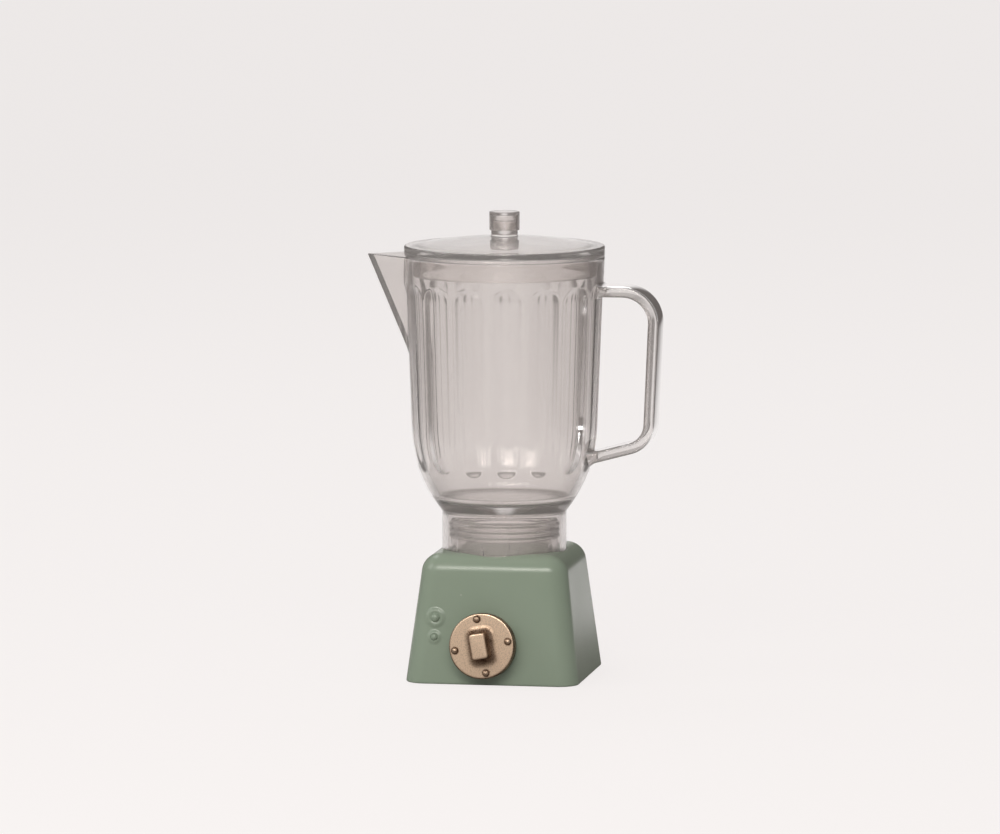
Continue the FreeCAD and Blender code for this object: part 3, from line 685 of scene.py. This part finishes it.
lid = {
    "under": 66.9, "top": 68.6, "radius": 15.95, "edgeRound": 0.35, "domeRadius": 14.35, "domeRise": 1.4,
    "wall": 1.2, "plugRadius": 14.59, "plugWall": 1.1, "plugDepth": 3.0, "pedestalRadius": 2.1,
    "knobHeight": 71.0, "pegRadius": 1.8, "pegTop": 72.5,
}
knob = {"radius": 2.4, "low": 71.0, "top": 73.95, "wall": 0.5, "bore": 1.85, "edgeRound": 0.18}


def domeHeight(across):
    # height of the lid's low dome: part of a large sphere over the flange
    d, rise = lid["domeRadius"], lid["domeRise"]
    reach = (d ** 2 + rise ** 2) / (2 * rise)
    return lid["top"] + rise - reach + math.sqrt(reach ** 2 - across ** 2)


def makeLid():
    # two turned profiles: plug, flange, dome and peg in one, the hollow cap over the peg
    q = lid
    inner = q["plugRadius"] - q["plugWall"]
    ceiling = q["top"] - q["wall"]
    drop = q["domeRise"] * (inner / q["domeRadius"]) ** 2
    path = [(t * inner, ceiling + drop * (1 - t * t), 0) for t in np.linspace(0, 1, 12)[:-1]]
    path += [(inner, ceiling, 0.5), (inner, q["under"] - q["plugDepth"], 0.25),
             (q["plugRadius"], q["under"] - q["plugDepth"], 0.3), (q["plugRadius"], q["under"], 0.12),
             (q["radius"], q["under"], 0.2), (q["radius"], q["top"], q["edgeRound"]),
             (q["domeRadius"], q["top"], 0.5)]
    path += [(t, domeHeight(t), 0) for t in np.linspace(q["domeRadius"], q["pedestalRadius"] + 0.5, 12)[1:]]
    path += [(q["pedestalRadius"], domeHeight(q["pedestalRadius"]), 0.3),
             (q["pedestalRadius"], q["knobHeight"], 0.05),
             (q["pegRadius"], q["knobHeight"], 0.02), (q["pegRadius"], q["pegTop"], 0.2), (0, q["pegTop"], 0)]
    cover = turnedPiece("lid_disc", path, 192, 0.6)
    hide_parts("lid_cover")
    k = knob
    cap = turnedPiece("knob_cap", [
        (0, k["top"] - k["wall"], 0), (k["bore"], k["top"] - k["wall"], 0.2), (k["bore"], k["low"], 0.08),
        (k["radius"], k["low"], 0.12), (k["radius"], k["top"], k["edgeRound"]), (0, k["top"], 0),
    ], 96, 0.3)
    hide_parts("lid_knob")
    for piece in (cover, cap):
        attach(piece, "lid")
    return cover, cap


# Materials

def newGroup(name, inputs, outputs):
    # empty node group whose sockets carry numbers: a start value for each input, a name for each output
    group = bpy.data.node_groups.new(name, "ShaderNodeTree")
    for socketName, value in inputs.items():
        socket = group.interface.new_socket(name=socketName, in_out="INPUT", socket_type="NodeSocketFloat")
        socket.default_value = value
    for socketName in outputs:
        group.interface.new_socket(name=socketName, in_out="OUTPUT", socket_type="NodeSocketFloat")
    return group, group.nodes.new("NodeGroupInput"), group.nodes.new("NodeGroupOutput")


def mathNode(tree, kind, first, second=None, clamp=False):
    node = tree.nodes.new("ShaderNodeMath")
    node.operation = kind
    node.use_clamp = clamp
    for socket, value in zip(node.inputs, (first, second)):
        if value is None:
            continue
        if isinstance(value, (int, float)):
            socket.default_value = value
        else:
            tree.links.new(value, socket)
    return node.outputs[0]


def objectPlaces(tree):
    return tree.nodes.new("ShaderNodeTexCoord").outputs["Object"]


def noiseNode(tree, vector, scale, detail):
    node = tree.nodes.new("ShaderNodeTexNoise")
    node.inputs["Detail"].default_value = detail
    if isinstance(scale, float):
        node.inputs["Scale"].default_value = scale
    else:
        tree.links.new(scale, node.inputs["Scale"])
    tree.links.new(vector, node.inputs["Vector"])
    return node.outputs["Fac"]


def mixColour(tree, factor, first, second):
    node = tree.nodes.new("ShaderNodeMix")
    node.data_type = "RGBA"
    for socket, value in ((node.inputs[0], factor), (node.inputs[6], first), (node.inputs[7], second)):
        if isinstance(value, (int, float)):
            socket.default_value = value
        elif isinstance(value, tuple):
            socket.default_value = (*value, 1.0)
        else:
            tree.links.new(value, socket)
    return node.outputs[2]


def spreadNode(tree, value, fromLow, fromHigh, toLow, toHigh):
    node = tree.nodes.new("ShaderNodeMapRange")
    node.interpolation_type = "SMOOTHERSTEP"
    tree.links.new(value, node.inputs["Value"])
    limits = (("From Min", fromLow), ("From Max", fromHigh), ("To Min", toLow), ("To Max", toHigh))
    for name, number in limits:
        node.inputs[name].default_value = number
    return node.outputs["Result"]


def makeSpeckleGroup():
    # fine grain and broad cloudiness of a sprayed, moulded or cast skin
    sizes = {"Grain Size": 2600.0, "Cloud Size": 130.0}
    group, inside, outside = newGroup("skinGrain", sizes, ("Grain", "Cloud"))
    places = objectPlaces(group)
    for output, detail in (("Grain", 4.0), ("Cloud", 2.0)):
        noise = noiseNode(group, places, inside.outputs[output + " Size"], detail)
        group.links.new(noise, outside.inputs[output])
    return group


def makeDustGroup():
    # sparse specks of dust: small cells, of which only a few are kept
    group, inside, outside = newGroup("dustSpecks", {"Speck Size": 700.0, "Amount": 0.06}, ("Speck",))
    cells = group.nodes.new("ShaderNodeTexVoronoi")
    cells.inputs["Randomness"].default_value = 1.0
    group.links.new(objectPlaces(group), cells.inputs["Vector"])
    group.links.new(inside.outputs["Speck Size"], cells.inputs["Scale"])
    parts = group.nodes.new("ShaderNodeSeparateColor")
    group.links.new(cells.outputs["Color"], parts.inputs["Color"])
    kept = mathNode(group, "LESS_THAN", parts.outputs["Red"], inside.outputs["Amount"])
    reach = mathNode(group, "MULTIPLY", parts.outputs["Green"], 0.22)
    close = mathNode(group, "LESS_THAN", cells.outputs["Distance"], reach)
    group.links.new(mathNode(group, "MULTIPLY", kept, close), outside.inputs["Speck"])
    return group


def startMaterial(name):
    material = bpy.data.materials.new(name)
    material.use_nodes = True
    tree = material.node_tree
    return material, tree, tree.nodes["Principled BSDF"]


def bumpInto(tree, shader, height, strength, distance):
    bump = tree.nodes.new("ShaderNodeBump")
    bump.inputs["Strength"].default_value = strength
    bump.inputs["Distance"].default_value = distance
    tree.links.new(height, bump.inputs["Height"])
    tree.links.new(bump.outputs["Normal"], shader.inputs["Normal"])


def useGroup(tree, group, values):
    node = tree.nodes.new("ShaderNodeGroup")
    node.node_tree = group
    for name, value in values.items():
        node.inputs[name].default_value = value
    return node


def dustyColour(tree, dust, look, colour):
    # a colour with sparse specks of dust on it
    specks = useGroup(tree, dust, look["dust"])
    shown = mathNode(tree, "MULTIPLY", specks.outputs["Speck"], look["dustShown"])
    return mixColour(tree, shown, colour, look["speck"])


def showBoth(tree, factor, first, second):
    # the material shows the first shader, and the second where the factor is 1
    mix = tree.nodes.new("ShaderNodeMixShader")
    for socket, value in zip(mix.inputs, (factor, first, second)):
        tree.links.new(value, socket)
    tree.links.new(mix.outputs["Shader"], tree.nodes["Material Output"].inputs["Surface"])


# a bump is its strength and its depth in metres

paint = {
    "colour": (0.226, 0.279, 0.215), "worn": (0.249, 0.302, 0.237), "deep": (0.206, 0.258, 0.196),
    "evenness": 0.72, "roughness": 0.24, "specular": 0.45, "bump": (0.10, 0.00004),
    "skin": {"Grain Size": 3800.0, "Cloud Size": 90.0},
    "speck": (0.5, 0.5, 0.46), "dustShown": 0.25, "dust": {"Speck Size": 620.0, "Amount": 0.012},
}


def paintMaterial(grain, dust):
    # sprayed satin paint: even green with slow cloudiness, a trace of orange peel and a few specks
    material, tree, shader = startMaterial("mintPaint")
    skin = useGroup(tree, grain, paint["skin"])
    cloud = spreadNode(tree, skin.outputs["Cloud"], 0.1, 0.9, 0.0, 1.0)
    colour = mixColour(tree, cloud, paint["deep"], paint["worn"])
    colour = mixColour(tree, paint["evenness"], colour, paint["colour"])
    tree.links.new(dustyColour(tree, dust, paint, colour), shader.inputs["Base Color"])
    smooth, dull = paint["roughness"] - 0.03, paint["roughness"] + 0.03
    rough = spreadNode(tree, skin.outputs["Cloud"], 0.1, 0.9, smooth, dull)
    tree.links.new(rough, shader.inputs["Roughness"])
    shader.inputs["Specular IOR Level"].default_value = paint["specular"]
    bumpInto(tree, shader, skin.outputs["Grain"], *paint["bump"])
    return material


metal = {
    # the dark colour is what the painted shade and the darker grain run to
    "bright": (0.86, 0.65, 0.475), "paintedShade": (0.085, 0.043, 0.024), "roughness": 0.36,
    "bump": (0.35, 0.00004), "skin": {"Grain Size": 5200.0, "Cloud Size": 420.0},
}


def metalMaterial(grain):
    # rose-gold plating on a cast part: satin, a little grainy, darkened by painted shade and painted dark
    # reflection round the toggle, the rivets and the edge
    material, tree, shader = startMaterial("roseGold")
    skin = useGroup(tree, grain, metal["skin"])
    layer = tree.nodes.new("ShaderNodeAttribute")
    layer.attribute_name = "paintedShade"
    uneven = spreadNode(tree, skin.outputs["Cloud"], 0.1, 0.9, 0.7, 1.2)
    paintedShade = mathNode(tree, "MULTIPLY", layer.outputs["Fac"], uneven, True)
    fine = spreadNode(tree, skin.outputs["Grain"], 0.38, 0.72, 0.0, 0.30)
    # the colour runs to the dark one by the painted shade, and a little by the fine grain
    shadeAndGrain = mathNode(tree, "ADD", mathNode(tree, "MULTIPLY", paintedShade, 0.9), fine, True)
    tree.links.new(mixColour(tree, shadeAndGrain, metal["bright"], metal["paintedShade"]), shader.inputs["Base Color"])
    shader.inputs["Metallic"].default_value = 1.0
    smooth, dull = metal["roughness"] - 0.05, metal["roughness"] + 0.08
    grainy = spreadNode(tree, skin.outputs["Grain"], 0.3, 0.7, smooth, dull)
    rough = mathNode(tree, "ADD", grainy, mathNode(tree, "MULTIPLY", paintedShade, 0.15))
    tree.links.new(rough, shader.inputs["Roughness"])
    bumpInto(tree, shader, skin.outputs["Grain"], *metal["bump"])
    return material


clear = {
    "tint": (0.91, 0.885, 0.875), "roughness": 0.04, "shadowTint": (0.80, 0.785, 0.775), "index": 1.47,
    "clearness": 0.93, "bump": (0.05, 0.0003), "skin": {"Grain Size": 900.0, "Cloud Size": 60.0},
    "speck": (0.7, 0.68, 0.66), "dustShown": 0.35, "dust": {"Speck Size": 450.0, "Amount": 0.012},
}


def clearMaterial(grain, dust):
    # clear moulded plastic: slightly grey, with faint flow marks and specks. Lamps shine through it
    material, tree, shader = startMaterial("clearPlastic")
    tint, roughness = clear["tint"], clear["roughness"]
    skin = useGroup(tree, grain, clear["skin"])
    cloud = spreadNode(tree, skin.outputs["Cloud"], 0.1, 0.9, 0.0, 0.5)
    colour = mixColour(tree, cloud, tint, tuple(0.96 * part for part in tint))
    tree.links.new(dustyColour(tree, dust, clear, colour), shader.inputs["Base Color"])
    tree.links.new(spreadNode(tree, skin.outputs["Grain"], 0.35, 0.65, roughness * 0.6, roughness * 1.5),
                   shader.inputs["Roughness"])
    shader.inputs["Transmission Weight"].default_value = clear["clearness"]
    shader.inputs["IOR"].default_value = clear["index"]
    bumpInto(tree, shader, skin.outputs["Cloud"], *clear["bump"])
    rays = tree.nodes.new("ShaderNodeLightPath")
    through = tree.nodes.new("ShaderNodeBsdfTransparent")
    through.inputs["Color"].default_value = (*clear["shadowTint"], 1.0)
    showBoth(tree, rays.outputs["Is Shadow Ray"], shader.outputs["BSDF"], through.outputs["BSDF"])
    return material


plain = {"skin": {"Grain Size": 2400.0, "Cloud Size": 160.0}, "bump": (0.3, 0.00006)}


def plainMaterial(name, grain, colour, roughness, metallic=0.0):
    # hidden and underside parts: their own colour with a moulded or plated grain
    material, tree, shader = startMaterial(name)
    skin = useGroup(tree, grain, plain["skin"])
    shade = spreadNode(tree, skin.outputs["Cloud"], 0.1, 0.9, 0.0, 1.0)
    deep, pale = tuple(0.8 * part for part in colour), tuple(min(1.2 * part, 1) for part in colour)
    tree.links.new(mixColour(tree, shade, deep, pale), shader.inputs["Base Color"])
    tree.links.new(spreadNode(tree, skin.outputs["Grain"], 0.3, 0.7, roughness - 0.06, roughness + 0.08),
                   shader.inputs["Roughness"])
    shader.inputs["Metallic"].default_value = metallic
    bumpInto(tree, shader, skin.outputs["Grain"], *plain["bump"])
    return material


def finishNode(name, material):
    # gives a carried-over CAD piece its finish
    slots = nodes[name].material_slots
    if slots:
        for slot in slots:
            slot.material = material
    else:
        nodes[name].data.materials.append(material)


# Stage: floor, light and camera

stage = {
    "background": (1.0, 0.963, 0.953), "behindClear": (0.847, 0.815, 0.807),
    "floorColour": (0.64, 0.62, 0.61), "floorHeight": -0.03, "glow": 0.80,
    "flagColour": (0.10, 0.085, 0.08), "flagStart": 0.045, "flagEnd": 0.30,
    "nearColour": (0.16, 0.145, 0.135), "worldColour": (0.847, 0.815, 0.807), "worldStrength": 0.37,
}
view = {
    "azimuthDegrees": 10.0, "elevationDegrees": 6.6, "distance": 1250.0, "lens": 283.0,
    "lookX": -0.7, "lookY": -0.12, "lookZ": 41.1,
}


def makeStage():
    # floor and backdrop in one sheet: level in front, curving up far behind
    halfWidth, radius, back = 1500.0, 500.0, 900.0
    path = [(-1400.0, 0.0)] + [(t, 0.0) for t in np.linspace(-1200, back, 30)]
    for bend in np.radians(np.linspace(0, 90, 24)[1:]):
        path.append((back + radius * math.sin(bend), radius * (1 - math.cos(bend))))
    path.append((back + radius, 2500.0))
    path = np.array(path)
    across = np.linspace(-halfWidth, halfWidth, 9)
    points = np.empty((len(path), len(across), 3))
    points[..., 0] = across[None, :]
    points[..., 1] = path[:, :1]
    points[..., 2] = path[:, 1:] + stage["floorHeight"]
    floor = mixedGrid("floor", [(points, False, False, True)])
    material, tree, shader = startMaterial("paleFloor")
    places = objectPlaces(tree)
    grainy = noiseNode(tree, places, 12.0, 3.0)
    darker = tuple(0.97 * part for part in stage["floorColour"])
    tree.links.new(mixColour(tree, grainy, stage["floorColour"], darker), shader.inputs["Base Color"])
    shader.inputs["Roughness"].default_value = 0.9
    shader.inputs["Specular IOR Level"].default_value = 0.1
    glow = tree.nodes.new("ShaderNodeEmission")
    rays = tree.nodes.new("ShaderNodeLightPath")
    seen = mathNode(tree, "ADD", rays.outputs["Is Camera Ray"], rays.outputs["Is Transmission Ray"], True)
    seen = mathNode(tree, "ADD", seen, rays.outputs["Is Glossy Ray"], True)
    # in reflections and through the plastic the sheet darkens to the left and right, which draws the curves
    sideways = tree.nodes.new("ShaderNodeVectorMath")
    sideways.operation = "DOT_PRODUCT"
    azimuth = math.radians(view["azimuthDegrees"])
    sideways.inputs[1].default_value = (math.cos(azimuth), math.sin(azimuth), 0.0)
    tree.links.new(places, sideways.inputs[0])
    away = mathNode(tree, "ABSOLUTE", sideways.outputs["Value"])
    shade = spreadNode(tree, away, stage["flagStart"], stage["flagEnd"], 0.0, 1.0)
    hidden = mathNode(tree, "SUBTRACT", 1.0, rays.outputs["Is Camera Ray"])
    pale = mixColour(tree, rays.outputs["Is Transmission Ray"], stage["background"], stage["behindClear"])
    seenBack = mixColour(tree, mathNode(tree, "MULTIPLY", shade, hidden), pale, stage["flagColour"])
    # a glossy surface sees the floor close to the toy in the toy's own shade
    reach = tree.nodes.new("ShaderNodeVectorMath")
    reach.operation = "LENGTH"
    tree.links.new(places, reach.inputs[0])
    close = mathNode(tree, "MULTIPLY", spreadNode(tree, reach.outputs["Value"], 0.02, 0.13, 1.0, 0.0),
                     rays.outputs["Is Glossy Ray"])
    tree.links.new(mixColour(tree, close, seenBack, stage["nearColour"]), glow.inputs["Color"])
    shown = mathNode(tree, "MULTIPLY", seen, stage["glow"])
    showBoth(tree, shown, shader.outputs["BSDF"], glow.outputs["Emission"])
    floor.data.materials.append(material)


lamps = {
    "key": {"place": (-20, -530, 410), "size": (820, 210), "power": 2.15, "colour": (1.0, 0.98, 0.95)},
    "side": {"place": (-480, -180, 300), "size": (260, 300), "power": 0.55, "colour": (1.0, 0.99, 0.97)},
    "window": {"place": (0, -480, 365), "size": (300, 130), "power": 0.75, "colour": (1.0, 0.95, 0.87)},
    "back": {"place": (-150, 330, 570), "size": (460, 300), "power": 1.15, "colour": (1.0, 1.0, 1.0)},
}
lampAim = (0.0, 0.0, 36.0)


def addLamp(name, place, size, power, colour):
    lamp = bpy.data.lights.new(name, "AREA")
    lamp.shape = "RECTANGLE"
    lamp.size, lamp.size_y = size[0] * millimetre, size[1] * millimetre
    lamp.energy = power
    lamp.color = colour
    item = bpy.data.objects.new(name, lamp)
    bpy.context.scene.collection.objects.link(item)
    item.location = Vector(place) * millimetre
    item.rotation_euler = (Vector(lampAim) - Vector(place)).to_track_quat("-Z", "Y").to_euler()
    # a lamp beside or behind the toy doesn't show as a white patch in the plastic
    item.visible_transmission = name not in ("side", "back")
    item.visible_camera = False


def makeLight():
    world = bpy.data.worlds.new("room")
    bpy.context.scene.world = world
    world.use_nodes = True
    background = world.node_tree.nodes["Background"]
    background.inputs["Color"].default_value = (*stage["worldColour"], 1.0)
    background.inputs["Strength"].default_value = stage["worldStrength"]
    for name, values in lamps.items():
        addLamp(name, **values)


def makeCamera():
    v = view
    lens = bpy.data.cameras.new("camera")
    lens.lens = v["lens"]
    lens.sensor_width = 36.0
    lens.clip_start, lens.clip_end = 0.05, 20.0
    item = bpy.data.objects.new("camera", lens)
    bpy.context.scene.collection.objects.link(item)
    azimuth, elevation = math.radians(v["azimuthDegrees"]), math.radians(v["elevationDegrees"])
    look = Vector((v["lookX"], v["lookY"], v["lookZ"]))
    level = math.cos(elevation)
    away = Vector((math.sin(azimuth) * level, -math.cos(azimuth) * level, math.sin(elevation)))
    item.location = (look + away * v["distance"]) * millimetre
    item.rotation_euler = (-away).to_track_quat("-Z", "Y").to_euler()
    bpy.context.scene.camera = item


def main():
    makeCamera()
    makeLight()
    makeStage()
    print("stage ready")
    housingPiece = makeHousing()
    studPieces = makeStuds()
    print("base ready")
    dialPieces = makeDial()
    print("dial ready")
    clearPieces = [makeJug(), makeHandle(), makeSpigot(), *makeLid()]
    print("jug and lid ready")
    grain = makeSpeckleGroup()
    dust = makeDustGroup()
    mint = paintMaterial(grain, dust)
    gold = metalMaterial(grain)
    steel = plainMaterial("platedSteel", grain, (0.55, 0.54, 0.51), 0.32, 1.0)
    black = plainMaterial("blackPlastic", grain, (0.028, 0.027, 0.026), 0.5)
    fibre = plainMaterial("redFibre", grain, (0.30, 0.09, 0.055), 0.7)
    for piece in (housingPiece, *studPieces):
        piece.data.materials.append(mint)
    for piece in dialPieces:
        piece.data.materials.append(gold)
    clearPlastic = clearMaterial(grain, dust)
    for piece in clearPieces:
        piece.data.materials.append(clearPlastic)
    finishNode("base_plate", black)
    finishNode("friction_washer", fibre)
    for name in ("base_plate_screws", "spigot_screws", "dial_spindle", "dial_clip", "cone_washer"):
        finishNode(name, steel)
    bpy.context.scene.view_settings.view_transform = "Standard"
    print("materials ready")


main()
